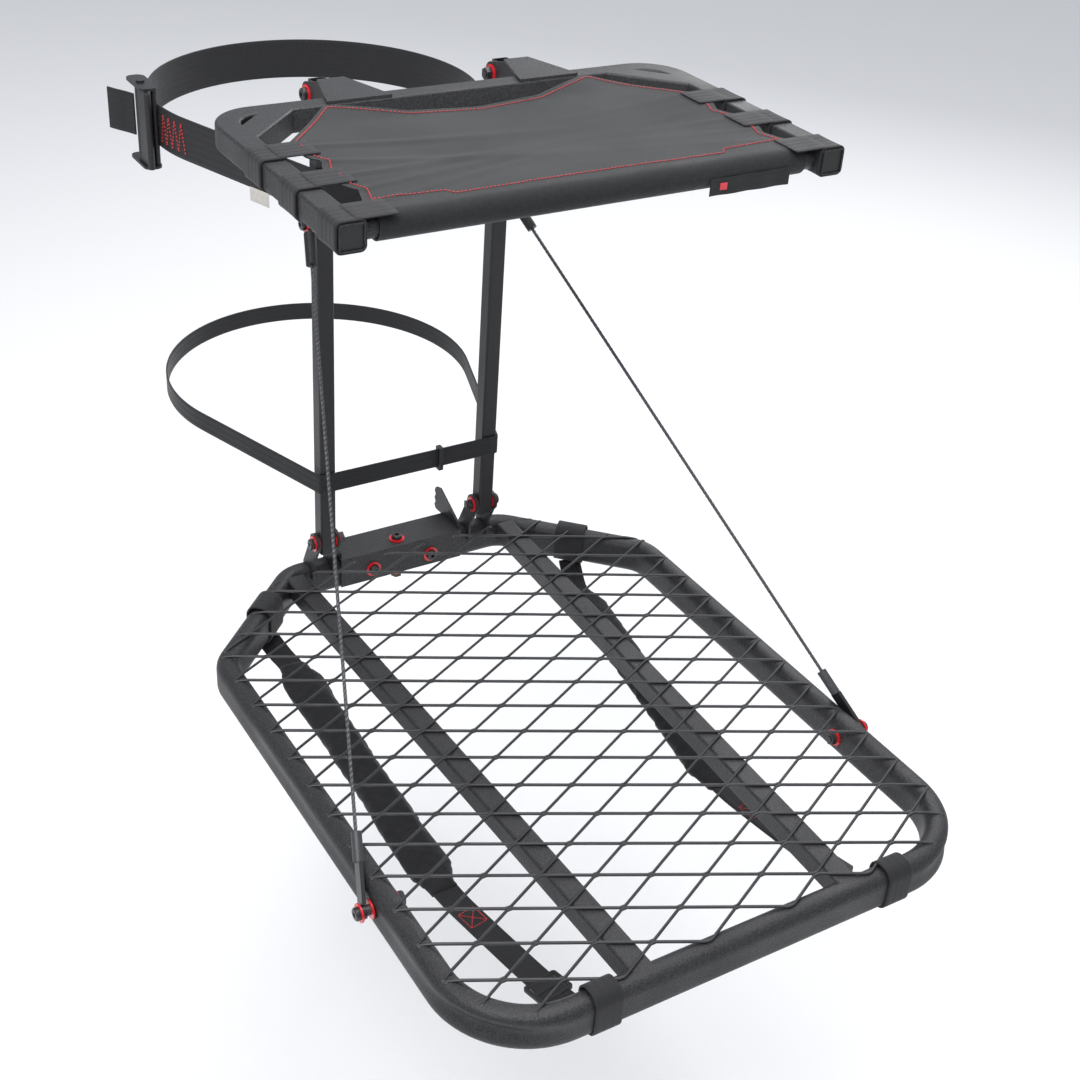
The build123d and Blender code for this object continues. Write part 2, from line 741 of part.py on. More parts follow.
def front_heights():
    """Height of the front webbing at the pad, halfway, and under the front rail."""
    depth = under_tube() - 18
    return [depth, depth + 3, under_tube() - webbing_thick / 2 - 0.4]


def front_drop(side):
    """Webbing from the pad up to the front wrap."""
    rear, pad_start, pad_end, front = strap_points(side)
    strap = ribbon((*pad_end, 0), (*front, 0), front_heights(), front_webbing, webbing_thick)
    return strap - shoulder_pad(side)


def strap_slider(side):
    """Three-bar slider on the front webbing."""
    rear, pad_start, pad_end, front = strap_points(side)
    start, end = Vector(*pad_end), Vector(*front)
    along = (end - start).normalized()
    share = 0.7
    middle = start + (end - start) * share
    low, knee, high = front_heights()
    rise = (high - knee) / ((end - start).length / 2)
    z = knee + (high - knee) * (share - 0.5) * 2 - webbing_thick / 2 - slider_thick - 0.4
    tilted = Vector(along.X, along.Y, rise).normalized()
    normal = tilted.cross(Vector(along.Y, -along.X, 0))
    upward = normal if normal.Z > 0 else normal * -1
    plane = Plane(origin=(middle.X, middle.Y, z), x_dir=tilted, z_dir=upward)
    body = RectangleRounded(slider_long, front_webbing + 10, 4)
    for shift in (-7, 7):
        body -= Pos(shift, 0) * Rectangle(8, front_webbing + 1)
    return extrude(plane * body, slider_thick)


if __name__ == "__main__":
    for name, side in sides.items():
        save(post(side), f"post_{name}")
        save(platform_bar(side), f"platform_bar_{name}")
        save(lower_hinge_ears(side), f"lower_hinge_ears_{name}")
        save(seat_hinge_bracket(side), f"seat_hinge_bracket_{name}")
        save(corner_brace(side), f"seat_corner_brace_{name}")
        save(webbing_loops(side), f"seat_webbing_loops_{name}")
        save(cable_wire(side), f"cable_{name}")
        save(cable_link(side), f"cable_link_{name}")
        save(cable_swage(side), f"cable_swage_{name}")
        save(cable_eye(side), f"cable_eye_{name}")
        save(shoulder_pad(side), f"shoulder_pad_{name}")
        save(group([rear_wrap(side), rear_drop(side)]), f"shoulder_webbing_rear_{name}")
        save(group([front_wrap(side), front_drop(side)]), f"shoulder_webbing_front_{name}")
        save(strap_slider(side), f"shoulder_slider_{name}")
    save(platform_frame(), "platform_frame")
    save(deck(), "platform_deck")
    save(trunk_bracket(), "trunk_bracket")
    save(seat_frame(), "seat_frame")
    save(cross_tube(), "seat_cross_tube")
    save(arm_plugs(), "seat_arm_plugs")
    save(seat_fabric(), "seat_fabric")
    save(lower_strap(), "lower_strap")
    save(strap_keeper(), "lower_strap_keeper")
    save(upper_strap(), "upper_strap")
    save(strap_tail(), "upper_strap_tail")
    save(buckle_frame(), "buckle_frame")
    save(buckle_cam(), "buckle_cam")
    save(buckle_pin(), "buckle_pin")
    for label, parts in (
        ("trunk_bracket", trunk_bracket_fasteners()),
        ("platform_hinge", hinge_fasteners(lower_pivot_z)),
        ("seat_hinge", hinge_fasteners(upper_pivot_z)),
    ):
        for kind, shapes in zip(("bolts", "washers", "nuts"), parts):
            save(group(shapes), f"{label}_{kind}")
    names = ("cable_top_bolts", "cable_top_washers", "cable_top_nuts")
    names += ("cable_foot_bolts", "cable_foot_washers", "cable_foot_nuts", "cable_foot_spacers")
    for name, shapes in zip(names, cable_fasteners()):
        save(group(shapes), name)
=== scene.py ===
import bpy, math
from mathutils import Matrix, Vector


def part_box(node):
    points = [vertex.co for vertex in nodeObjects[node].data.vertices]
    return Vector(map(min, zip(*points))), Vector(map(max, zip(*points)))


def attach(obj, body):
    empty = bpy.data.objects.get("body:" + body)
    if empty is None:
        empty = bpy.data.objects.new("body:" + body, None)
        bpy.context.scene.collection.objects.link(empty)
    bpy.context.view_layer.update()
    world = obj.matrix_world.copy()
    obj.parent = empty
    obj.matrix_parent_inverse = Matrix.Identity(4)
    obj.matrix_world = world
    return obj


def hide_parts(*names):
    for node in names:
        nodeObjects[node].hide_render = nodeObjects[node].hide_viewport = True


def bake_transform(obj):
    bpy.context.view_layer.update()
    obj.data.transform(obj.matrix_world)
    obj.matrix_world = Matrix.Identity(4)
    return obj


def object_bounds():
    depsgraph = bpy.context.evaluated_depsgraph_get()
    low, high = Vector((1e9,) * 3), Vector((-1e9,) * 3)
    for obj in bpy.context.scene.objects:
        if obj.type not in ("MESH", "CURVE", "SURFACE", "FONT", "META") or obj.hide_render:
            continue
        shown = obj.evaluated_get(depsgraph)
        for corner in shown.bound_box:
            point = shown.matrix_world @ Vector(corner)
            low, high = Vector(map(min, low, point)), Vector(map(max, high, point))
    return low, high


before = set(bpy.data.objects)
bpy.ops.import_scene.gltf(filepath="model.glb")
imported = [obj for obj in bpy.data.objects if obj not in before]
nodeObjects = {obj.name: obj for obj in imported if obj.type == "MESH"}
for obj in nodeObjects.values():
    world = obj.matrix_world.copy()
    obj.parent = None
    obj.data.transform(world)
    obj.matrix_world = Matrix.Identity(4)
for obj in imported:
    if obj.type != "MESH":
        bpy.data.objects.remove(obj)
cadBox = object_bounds()
up = Vector((0, 0, 1))
sides = {"left": -1, "right": 1}
print("frame loaded,", len(nodeObjects), "nodes")


# small helpers
def clearSelection():
    if bpy.context.mode != "OBJECT":
        bpy.ops.object.mode_set(mode="OBJECT")
    bpy.ops.object.select_all(action="DESELECT")


def pick(piece):
    clearSelection()
    piece.select_set(True)
    bpy.context.view_layer.objects.active = piece


def addMod(piece, kind, **values):
    mod = piece.modifiers.new(kind.title(), kind)
    for key, value in values.items():
        setattr(mod, key, value)
    return mod


def applyMods(piece):
    pick(piece)
    for mod in list(piece.modifiers):
        bpy.ops.object.modifier_apply(modifier=mod.name)


def smooth(piece, angle=40):
    pick(piece)
    bpy.ops.object.shade_smooth_by_angle(angle=math.radians(angle))


def settle(piece):  # puts the place into the mesh
    pick(piece)
    bpy.ops.object.transform_apply(location=True, rotation=True, scale=True)


def meshPiece(name, points, faces, uvs=None):
    mesh = bpy.data.meshes.new(name)
    mesh.from_pydata([tuple(p) for p in points], [], faces)
    if uvs:
        layer = mesh.uv_layers.new(name="UVMap")
        for loop in mesh.loops:
            layer.data[loop.index].uv = uvs[loop.vertex_index]
    piece = bpy.data.objects.new(name, mesh)
    bpy.context.scene.collection.objects.link(piece)
    return piece


def joinAll(name, pieces):
    clearSelection()
    for piece in pieces:
        piece.select_set(True)
    bpy.context.view_layer.objects.active = pieces[0]
    bpy.ops.object.join()
    joined = bpy.context.view_layer.objects.active
    joined.name = name
    joined.data.name = name
    return joined


def outward(piece):
    pick(piece)
    bpy.ops.object.mode_set(mode="EDIT")
    bpy.ops.mesh.select_all(action="SELECT")
    bpy.ops.mesh.normals_make_consistent(inside=False)
    bpy.ops.object.mode_set(mode="OBJECT")


def dress(piece, body, paint, slotName, *replaced):
    piece.data.materials.clear()
    piece.data.materials.append(paint)
    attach(piece, body)
    if replaced:
        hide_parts(*replaced)


def eased(x):  # from 0 to 1 with a soft start and end
    x = min(1.0, max(0.0, x))
    return x * x * (3 - 2 * x)


# finishes
def link(tree, fromNode, output, toNode, socket):
    tree.links.new(fromNode.outputs[output], toNode.inputs[socket])


def effectGroup(name, inputs, outputs):
    group = bpy.data.node_groups.new(name, "ShaderNodeTree")
    for socketName, socketType, default in inputs:
        socket = group.interface.new_socket(socketName, in_out="INPUT", socket_type=socketType)
        if default is not None:
            socket.default_value = default
    for socketName, socketType in outputs:
        group.interface.new_socket(socketName, in_out="OUTPUT", socket_type=socketType)
    return group, group.nodes.new("NodeGroupInput"), group.nodes.new("NodeGroupOutput")


def mathNode(tree, operation, a=None, b=None, third=None):
    node = tree.nodes.new("ShaderNodeMath")
    node.operation = operation
    for index, value in enumerate((a, b, third)):
        if value is None:
            continue
        if isinstance(value, (int, float)):
            node.inputs[index].default_value = value
        else:
            tree.links.new(value, node.inputs[index])
    return node.outputs[0]


def grainGroup():
    group, entry, leave = effectGroup(
        "coatGrain", [("Vector", "NodeSocketVector", None), ("Scale", "NodeSocketFloat", 700.0)],
        [("Tone", "NodeSocketFloat"), ("Height", "NodeSocketFloat")])
    fine = group.nodes.new("ShaderNodeTexNoise")
    fine.inputs["Detail"].default_value = 3.0
    fine.inputs["Roughness"].default_value = 0.65
    lumps = group.nodes.new("ShaderNodeTexVoronoi")
    lumps.feature = "SMOOTH_F1"
    for node, share in ((fine, 1.0), (lumps, 0.8)):
        group.links.new(entry.outputs["Vector"], node.inputs["Vector"])
        group.links.new(mathNode(group, "MULTIPLY", entry.outputs["Scale"], share), node.inputs["Scale"])
    spread = group.nodes.new("ShaderNodeMapRange")
    spread.inputs["From Min"].default_value = 0.36
    spread.inputs["From Max"].default_value = 0.66
    link(group, fine, "Fac", spread, "Value")
    link(group, spread, "Result", leave, "Tone")
    total = mathNode(group, "SUBTRACT", fine.outputs["Fac"], lumps.outputs["Distance"])
    group.links.new(total, leave.inputs["Height"])
    return group


def weaveGroup():
    group, entry, leave = effectGroup(
        "clothWeave", [("Vector", "NodeSocketVector", None), ("Threads", "NodeSocketFloat", 900.0)],
        [("Tone", "NodeSocketFloat"), ("Height", "NodeSocketFloat")])
    parts = group.nodes.new("ShaderNodeSeparateXYZ")
    group.links.new(entry.outputs["Vector"], parts.inputs[0])
    turns = mathNode(group, "MULTIPLY", entry.outputs["Threads"], math.pi)
    waves = []
    for axis in ("X", "Y"):
        across = mathNode(group, "MULTIPLY", parts.outputs[axis], turns)
        waves.append(mathNode(group, "SINE", across))
    crossing = mathNode(group, "MULTIPLY", waves[0], waves[1])
    slub = group.nodes.new("ShaderNodeTexNoise")
    slub.inputs["Scale"].default_value = 260.0
    slub.inputs["Detail"].default_value = 4.0
    group.links.new(entry.outputs["Vector"], slub.inputs["Vector"])
    height = mathNode(group, "MULTIPLY_ADD", slub.outputs["Fac"], 0.9, mathNode(group, "ABSOLUTE", crossing))
    group.links.new(height, leave.inputs["Height"])
    group.links.new(mathNode(group, "MULTIPLY_ADD", crossing, 0.3, slub.outputs["Fac"]), leave.inputs["Tone"])
    return group


def ribGroup():
    group, entry, leave = effectGroup(
        "webbingRibs", [("Vector", "NodeSocketVector", None), ("Ribs", "NodeSocketFloat", 520.0)],
        [("Tone", "NodeSocketFloat"), ("Height", "NodeSocketFloat")])
    parts = group.nodes.new("ShaderNodeSeparateXYZ")
    group.links.new(entry.outputs["Vector"], parts.inputs[0])
    columns = mathNode(group, "PINGPONG", mathNode(group, "MULTIPLY", parts.outputs["X"], 240.0), 1.0)
    along = mathNode(group, "MULTIPLY", parts.outputs["Y"], entry.outputs["Ribs"])
    slant = mathNode(group, "MULTIPLY_ADD", columns, 0.8, along)
    ribs = mathNode(group, "PINGPONG", slant, 0.5)
    fuzz = group.nodes.new("ShaderNodeTexNoise")
    fuzz.inputs["Scale"].default_value = 420.0
    group.links.new(entry.outputs["Vector"], fuzz.inputs["Vector"])
    height = mathNode(group, "MULTIPLY_ADD", fuzz.outputs["Fac"], 0.35, mathNode(group, "ADD", ribs, columns))
    group.links.new(height, leave.inputs["Height"])
    group.links.new(mathNode(group, "MULTIPLY_ADD", ribs, 1.2, fuzz.outputs["Fac"]), leave.inputs["Tone"])
    return group


def patchGroup():
    group, entry, leave = effectGroup(
        "handledPatches", [("Vector", "NodeSocketVector", None), ("Scale", "NodeSocketFloat", 9.0)],
        [("Mask", "NodeSocketFloat")])
    cloud = group.nodes.new("ShaderNodeTexNoise")
    cloud.inputs["Detail"].default_value = 5.0
    link(group, entry, "Vector", cloud, "Vector")
    link(group, entry, "Scale", cloud, "Scale")
    spread = group.nodes.new("ShaderNodeMapRange")
    spread.inputs["From Min"].default_value = 0.35
    spread.inputs["From Max"].default_value = 0.7
    link(group, cloud, "Fac", spread, "Value")
    link(group, spread, "Result", leave, "Mask")
    return group


effects = {"grain": grainGroup(), "weave": weaveGroup(), "ribs": ribGroup(), "patches": patchGroup()}


def useEffect(tree, name, vector, **values):
    node = tree.nodes.new("ShaderNodeGroup")
    node.node_tree = effects[name]
    tree.links.new(vector, node.inputs["Vector"])
    for key, value in values.items():
        node.inputs[key].default_value = value
    return node


def blendColour(tree, factor, dark, light):
    node = tree.nodes.new("ShaderNodeMix")
    node.data_type = "RGBA"
    node.inputs[6].default_value = (*dark, 1)
    node.inputs[7].default_value = (*light, 1)
    tree.links.new(factor, node.inputs[0])
    return node.outputs[2]


def finish(name, effect, values, dark, light, rough, bump, onUv=False, metal=0.0, sheen=0.0, spec=0.5, coat=0.0):
    paint = bpy.data.materials.new(name)
    paint.use_nodes = True
    tree = paint.node_tree
    shader = tree.nodes["Principled BSDF"]
    place = tree.nodes.new("ShaderNodeTexCoord")
    vector = place.outputs["UV" if onUv else "Object"]
    detail = useEffect(tree, effect, vector, **values)
    patches = useEffect(tree, "patches", place.outputs["Object"], Scale=11.0)
    tree.links.new(blendColour(tree, detail.outputs["Tone"], dark, light), shader.inputs["Base Color"])
    spread = tree.nodes.new("ShaderNodeMapRange")
    spread.inputs["To Min"].default_value = rough[0]
    spread.inputs["To Max"].default_value = rough[1]
    link(tree, patches, "Mask", spread, "Value")
    link(tree, spread, "Result", shader, "Roughness")
    relief = tree.nodes.new("ShaderNodeBump")
    relief.inputs["Strength"].default_value = bump[0]
    relief.inputs["Distance"].default_value = bump[1]
    link(tree, detail, "Height", relief, "Height")
    link(tree, relief, "Normal", shader, "Normal")
    shader.inputs["Metallic"].default_value = metal
    shader.inputs["Specular IOR Level"].default_value = spec
    shader.inputs["Sheen Weight"].default_value = sheen
    shader.inputs["Sheen Roughness"].default_value = 0.45
    shader.inputs["Coat Weight"].default_value = coat
    shader.inputs["Coat Roughness"].default_value = 0.12
    return paint


paints = {
    "coat": finish("powderCoat", "grain", {"Scale": 620.0}, (0.004, 0.004, 0.0045), (0.034, 0.034, 0.036),
                   (0.42, 0.58), (0.55, 0.0006)),
    "satin": finish("satinBlack", "grain", {"Scale": 1100.0}, (0.007, 0.007, 0.008), (0.02, 0.02, 0.022),
                    (0.4, 0.52), (0.25, 0.0003)),
    "strand": finish("strandCoat", "grain", {"Scale": 1300.0}, (0.012, 0.012, 0.013), (0.048, 0.048, 0.05),
                     (0.38, 0.5), (0.25, 0.0003)),
    "red": finish("redPaint", "grain", {"Scale": 1500.0}, (0.62, 0.006, 0.012), (0.8, 0.016, 0.025),
                  (0.25, 0.38), (0.08, 0.0002), coat=0.5),
    "bolt": finish("blackOxide", "grain", {"Scale": 1600.0}, (0.008, 0.008, 0.009), (0.028, 0.028, 0.03),
                   (0.26, 0.4), (0.15, 0.0002), spec=0.6),
    "zinc": finish("dullZinc", "grain", {"Scale": 1400.0}, (0.045, 0.046, 0.048), (0.12, 0.122, 0.125),
                   (0.36, 0.5), (0.2, 0.0003), metal=0.55),
    "wire": finish("cableWire", "grain", {"Scale": 2200.0}, (0.05, 0.051, 0.053), (0.16, 0.163, 0.168),
                   (0.32, 0.45), (0.2, 0.0002), metal=0.6),
    "sleeve": finish("shrinkSleeve", "grain", {"Scale": 900.0}, (0.007, 0.007, 0.007), (0.016, 0.016, 0.016),
                     (0.45, 0.6), (0.15, 0.0003)),
    "moulded": finish("mouldedPlastic", "grain", {"Scale": 1200.0}, (0.008, 0.008, 0.008), (0.02, 0.02, 0.02),
                      (0.4, 0.55), (0.15, 0.0003)),
    "webbing": finish("blackWebbing", "ribs", {"Ribs": 520.0}, (0.006, 0.006, 0.0065), (0.022, 0.022, 0.024),
                      (0.62, 0.78), (0.5, 0.0005), onUv=True, sheen=0.12, spec=0.3),
    "sling": finish("slingCloth", "weave", {"Threads": 950.0}, (0.008, 0.0084, 0.009), (0.024, 0.0246, 0.026),
                    (0.68, 0.84), (0.4, 0.0004), sheen=0.18, spec=0.28),
    "pad": finish("padCloth", "weave", {"Threads": 760.0}, (0.007, 0.007, 0.0075), (0.024, 0.024, 0.026),
                  (0.68, 0.85), (0.45, 0.0005), sheen=0.15, spec=0.25),
    "thread": finish("redThread", "grain", {"Scale": 2600.0}, (0.42, 0.012, 0.018), (0.66, 0.03, 0.035),
                     (0.5, 0.65), (0.3, 0.0002), sheen=0.2),
    "redInk": finish("redInk", "weave", {"Threads": 950.0}, (0.55, 0.035, 0.045), (0.78, 0.085, 0.095),
                     (0.55, 0.68), (0.3, 0.0003)),
    "label": finish("wovenLabel", "weave", {"Threads": 1400.0}, (0.5, 0.47, 0.43), (0.68, 0.65, 0.6),
                    (0.6, 0.75), (0.3, 0.0003)),
}
print("finishes made,", len(paints))


# camera, light and floor
view = {
    "spot": (-0.8068, -1.5651, 1.1277),
    "right": (0.857, -0.5118, 0.0605), "up": (0.2305, 0.4855, 0.8433), "back": (-0.461, -0.7087, 0.534),
    "lens": 53.95, "sensor": 36.0, "floorDrop": 0.45, "floorSize": 60, "aim": (0, -0.35, 0.3),
    "sky": (0.9, 0.93, 1.0, 1), "skyStrength": 0.62,
}
lamps = {
    "keyLight": ((-1.6, -1.5, 3.4), 2.2, 95),
    "topLight": ((0.6, 0.2, 3.2), 2.4, 60),
    "rimLight": ((2.6, 1.8, 1.8), 1.6, 28),
}


def setStage():
    camera = bpy.data.objects.new("camera", bpy.data.cameras.new("camera"))
    camera.data.lens = view["lens"]
    camera.data.sensor_width = view["sensor"]
    turn = Matrix((view["right"], view["up"], view["back"])).transposed()
    camera.matrix_world = Matrix.Translation(view["spot"]) @ turn.to_4x4()
    bpy.context.scene.collection.objects.link(camera)
    bpy.context.scene.camera = camera
    for name, (spot, size, power) in lamps.items():
        lamp = bpy.data.lights.new(name, "AREA")
        lamp.size = size
        lamp.energy = power
        holder = bpy.data.objects.new(name, lamp)
        holder.location = spot
        aim = Vector(view["aim"]) - Vector(spot)
        holder.rotation_euler = aim.to_track_quat("-Z", "Y").to_euler()
        bpy.context.scene.collection.objects.link(holder)
    world = bpy.data.worlds.new("studio")
    world.use_nodes = True
    world.node_tree.nodes["Background"].inputs[0].default_value = view["sky"]
    world.node_tree.nodes["Background"].inputs[1].default_value = view["skyStrength"]
    bpy.context.scene.world = world
    bpy.ops.mesh.primitive_plane_add(size=view["floorSize"], location=(0, 0, cadBox[0][2] - view["floorDrop"]))
    floor = bpy.context.object
    floor.name = "floor"
    paint = bpy.data.materials.new("paleFloor")
    paint.use_nodes = True
    shader = paint.node_tree.nodes["Principled BSDF"]
    shader.inputs["Base Color"].default_value = (0.86, 0.86, 0.86, 1)
    shader.inputs["Roughness"].default_value = 0.9
    shader.inputs["Specular IOR Level"].default_value = 0.1
    floor.data.materials.append(paint)
    bpy.context.scene.view_settings.view_transform = "Standard"


setStage()
print("stage set")


# shapes used by several pieces
def route(points):  # a smooth spline through the given control points, read back as points
    curve = bpy.data.curves.new("route", "CURVE")
    curve.dimensions = "3D"
    curve.resolution_u = 24
    spline = curve.splines.new("NURBS")
    spline.points.add(len(points) - 1)
    for point, place in zip(spline.points, points):
        point.co = (*place, 1)
    spline.order_u = 3
    spline.use_endpoint_u = True
    holder = bpy.data.objects.new("route", curve)
    mesh = bpy.data.meshes.new_from_object(holder)
    found = [v.co.copy() for v in mesh.vertices]
    bpy.data.objects.remove(holder)
    bpy.data.curves.remove(curve)
    bpy.data.meshes.remove(mesh)
    return found


def spaced(points, step):  # the same line with points an even step apart
    lengths = [0.0]
    for a, b in zip(points, points[1:]):
        lengths.append(lengths[-1] + (b - a).length)
    count = max(2, round(lengths[-1] / step) + 1)
    found, index = [], 0
    for n in range(count):
        target = lengths[-1] * n / (count - 1)
        while index < len(points) - 2 and lengths[index + 1] < target:
            index += 1
        span = lengths[index + 1] - lengths[index] or 1.0
        found.append(points[index].lerp(points[index + 1], (target - lengths[index]) / span))
    return found


def headings(points, closed=False):
    found = []
    for n in range(len(points)):
        before = points[n - 1] if n or closed else points[0]
        after = points[(n + 1) % len(points)] if n < len(points) - 1 or closed else points[-1]
        found.append((after - before).normalized())
    return found


def ribbon(name, spine, across, wide, thick, columns=8, closed=False, crown=0.0):  # UV in metres
    ways = headings(spine, closed)
    points, uvs, faces = [], [], []
    far = 0.0
    for n, middle in enumerate(spine):
        if n:
            far += (middle - spine[n - 1]).length
        lift = ways[n].cross(across).normalized()
        for c in range(columns + 1):
            share = c / columns - 0.5
            bulge = crown * (1 - 4 * share * share)
            points.append(middle + across * (share * wide) + lift * bulge)
            uvs.append(((share + 0.5) * wide, far))
    rows = len(spine)
    for n in range(rows if closed else rows - 1):
        m = (n + 1) % rows
        for c in range(columns):
            a = n * (columns + 1) + c
            b = m * (columns + 1) + c
            faces.append((a, a + 1, b + 1, b))
    piece = meshPiece(name, points, faces, uvs)
    addMod(piece, "SOLIDIFY", thickness=thick, offset=0.0)
    addMod(piece, "BEVEL", width=thick * 0.3, segments=2, limit_method="ANGLE", angle_limit=math.radians(50))
    applyMods(piece)
    smooth(piece, 45)
    return piece


def twistedTube(name, path, radius, around, lobes, lobeDepth, pitch):
    ways = headings(path)
    side = ways[0].orthogonal().normalized()
    points, faces, uvs = [], [], []
    far = 0.0
    for n, middle in enumerate(path):
        if n:
            far += (middle - path[n - 1]).length
        side = (side - ways[n] * side.dot(ways[n])).normalized()
        other = ways[n].cross(side)
        twist = 2 * math.pi * far / pitch
        for a in range(around):
            angle = 2 * math.pi * a / around
            dip = 1 - lobeDepth * (0.5 - 0.5 * math.cos(lobes * angle))
            way = side * math.cos(angle + twist) + other * math.sin(angle + twist)
            points.append(middle + way * radius * dip)
            uvs.append((a / around * 2 * math.pi * radius, far))
    for n in range(len(path) - 1):
        for a in range(around):
            b = (a + 1) % around
            faces.append((n * around + a, n * around + b, (n + 1) * around + b, (n + 1) * around + a))
    faces.append(tuple(reversed(range(around))))
    last = (len(path) - 1) * around
    faces.append(tuple(range(last, last + around)))
    piece = meshPiece(name, points, faces, uvs)
    smooth(piece, 50)
    return piece


stitchShape = ((-0.5, 0.0), (-0.36, 0.8), (0.0, 1.15), (0.36, 0.8), (0.5, 0.0))  # place along, thickness


def stitches(name, path, normals, pitch, long, fat):  # a row of separate stitches lying on a surface
    dots = spaced(path, pitch)
    points, faces = [], []
    for n in range(len(dots) - 1):
        way = (dots[n + 1] - dots[n]).normalized()
        middle = dots[n].lerp(dots[n + 1], 0.5)
        sideways = way.cross(normals(middle)).normalized()
        out = sideways.cross(way)
        first = len(points)
        for share, size in stitchShape:
            centre = middle + way * (share * long) + out * (fat * (0.55 * size))
            if size == 0.0:
                points.append(centre - out * fat * 0.3)
                continue
            for a in range(6):
                angle = math.pi * a / 3
                points.append(centre + sideways * math.cos(angle) * fat * size
                              + out * math.sin(angle) * fat * size * 0.8)
        for a in range(6):
            b = (a + 1) % 6
            faces.append((first, first + 1 + b, first + 1 + a))
            for ring in (0, 1):
                base = first + 1 + 6 * ring
                faces.append((base + a, base + b, base + 6 + b, base + 6 + a))
            faces.append((first + 13 + a, first + 13 + b, first + 19))
    piece = meshPiece(name, points, faces)
    outward(piece)
    smooth(piece, 80)
    return piece


def upward(point):
    return up


# the two side cables
cable = {"radius": 0.002, "around": 24, "lobes": 6, "lobeDepth": 0.22, "pitch": 0.034, "step": 0.004, "hidden": 0.012}


def cableEnds(name):
    low, high = (Vector(p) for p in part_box("cable_" + name))
    inset = cable["radius"] * 0.8
    x = (high.x - inset, low.x + inset) if name == "left" else (low.x + inset, high.x - inset)
    return Vector((x[0], high.y - inset, high.z - inset)), Vector((x[1], low.y + inset, low.z + inset))


def makeCables():
    for name in sides:
        top, foot = cableEnds(name)
        reach = (foot - top).normalized() * cable["hidden"]  # runs on into the sleeve and the ferrule
        top, foot = top - reach, foot + reach
        path = spaced(route([top, top.lerp(foot, 0.5), foot]), cable["step"])
        piece = twistedTube("sideCable_" + name, path, cable["radius"], cable["around"], cable["lobes"],
                            cable["lobeDepth"], cable["pitch"])
        outward(piece)
        piece.data.materials.append(paints["wire"])
        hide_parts("cable_" + name)
        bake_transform(piece)


makeCables()
print("cables made")


# platform frame: bent tube with caved front bends
rail = {"wide": 0.027, "high": 0.044, "corner": 0.012, "bends": (0.04, 0.045, 0.09, 0.09, 0.045, 0.04),
        "diagonalRun": 0.150, "cave": 0.0075, "caveAt": (0.268, 0.04), "caveReach": (0.045, 0.055),
        "caveHigh": 0.002, "caveTall": 0.0085, "crease": 0.0016, "creaseFrom": -0.12, "creaseFade": 0.2,
        "sideFrom": 0.28, "middleY": -0.36, "step": 0.006}
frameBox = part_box("platform_frame")


def roundedRoute(corners, bends, step):  # closed plan line with true arcs at its corners
    found = []
    count = len(corners)
    for n, corner in enumerate(corners):
        before = (corners[n - 1] - corner).normalized()
        after = (corners[(n + 1) % count] - corner).normalized()
        half = before.angle(after) / 2
        setback = bends[n] / math.tan(half)
        centre = corner + (before + after).normalized() * (bends[n] / math.sin(half))
        start, end = corner + before * setback - centre, corner + after * setback - centre
        sweep = math.pi - 2 * half
        turns = max(4, round(bends[n] * sweep / step))
        axis = start.cross(end).normalized()
        for k in range(turns + 1):
            found.append(centre + Matrix.Rotation(sweep * k / turns, 3, axis) @ start)
    dense = []
    for a, b in zip(found, found[1:] + found[:1]):
        pieces = max(1, round((b - a).length / step))
        dense += [a.lerp(b, k / pieces) for k in range(pieces)]
    return dense


def railCorners():
    low, high = (Vector(p) for p in frameBox)
    half = rail["wide"] / 2
    ease = half * math.tan(math.radians(22.5))
    z = (low.z + high.z) / 2
    sideX, rearX = high.x - half, high.x - rail["diagonalRun"] - ease
    sideY, rearY, frontY = high.y - rail["diagonalRun"] - ease, high.y - half, low.y + half
    plan = [(rearX, rearY), (sideX, sideY), (sideX, frontY)]
    plan += [(-x, y) for x, y in reversed(plan)]
    return [Vector((x, y, z)) for x, y in plan]


def roundedSection(wide, high, corner, perCorner=6, perSide=5):
    points = []
    for quarter, (sx, sy) in enumerate(((1, 1), (-1, 1), (-1, -1), (1, -1))):
        centre = Vector((sx * (wide / 2 - corner), sy * (high / 2 - corner)))
        for k in range(perCorner + 1):
            angle = math.radians(90 * quarter + 90 * k / perCorner)
            points.append(centre + Vector((math.cos(angle), math.sin(angle))) * corner)
    full = []
    for a, b in zip(points, points[1:] + points[:1]):
        cuts = perSide if (b - a).length > corner * 0.6 else 1
        full += [a.lerp(b, k / cuts) for k in range(cuts)]
    return full


def caveDepth(place):  # how far the outer wall is pushed in: most at the front bends, a little along the sides
    offX = (abs(place.x) - rail["caveAt"][0]) / rail["caveReach"][0]
    offY = (place.y - frameBox[0][1] - rail["caveAt"][1]) / rail["caveReach"][1]
    bend = math.exp(-(offX ** 2 + offY ** 2))
    along = 0.0
    if abs(place.x) > rail["sideFrom"]:
        along = rail["crease"] * eased((rail["creaseFrom"] - place.y) / rail["creaseFade"])
    return along + rail["cave"] * bend


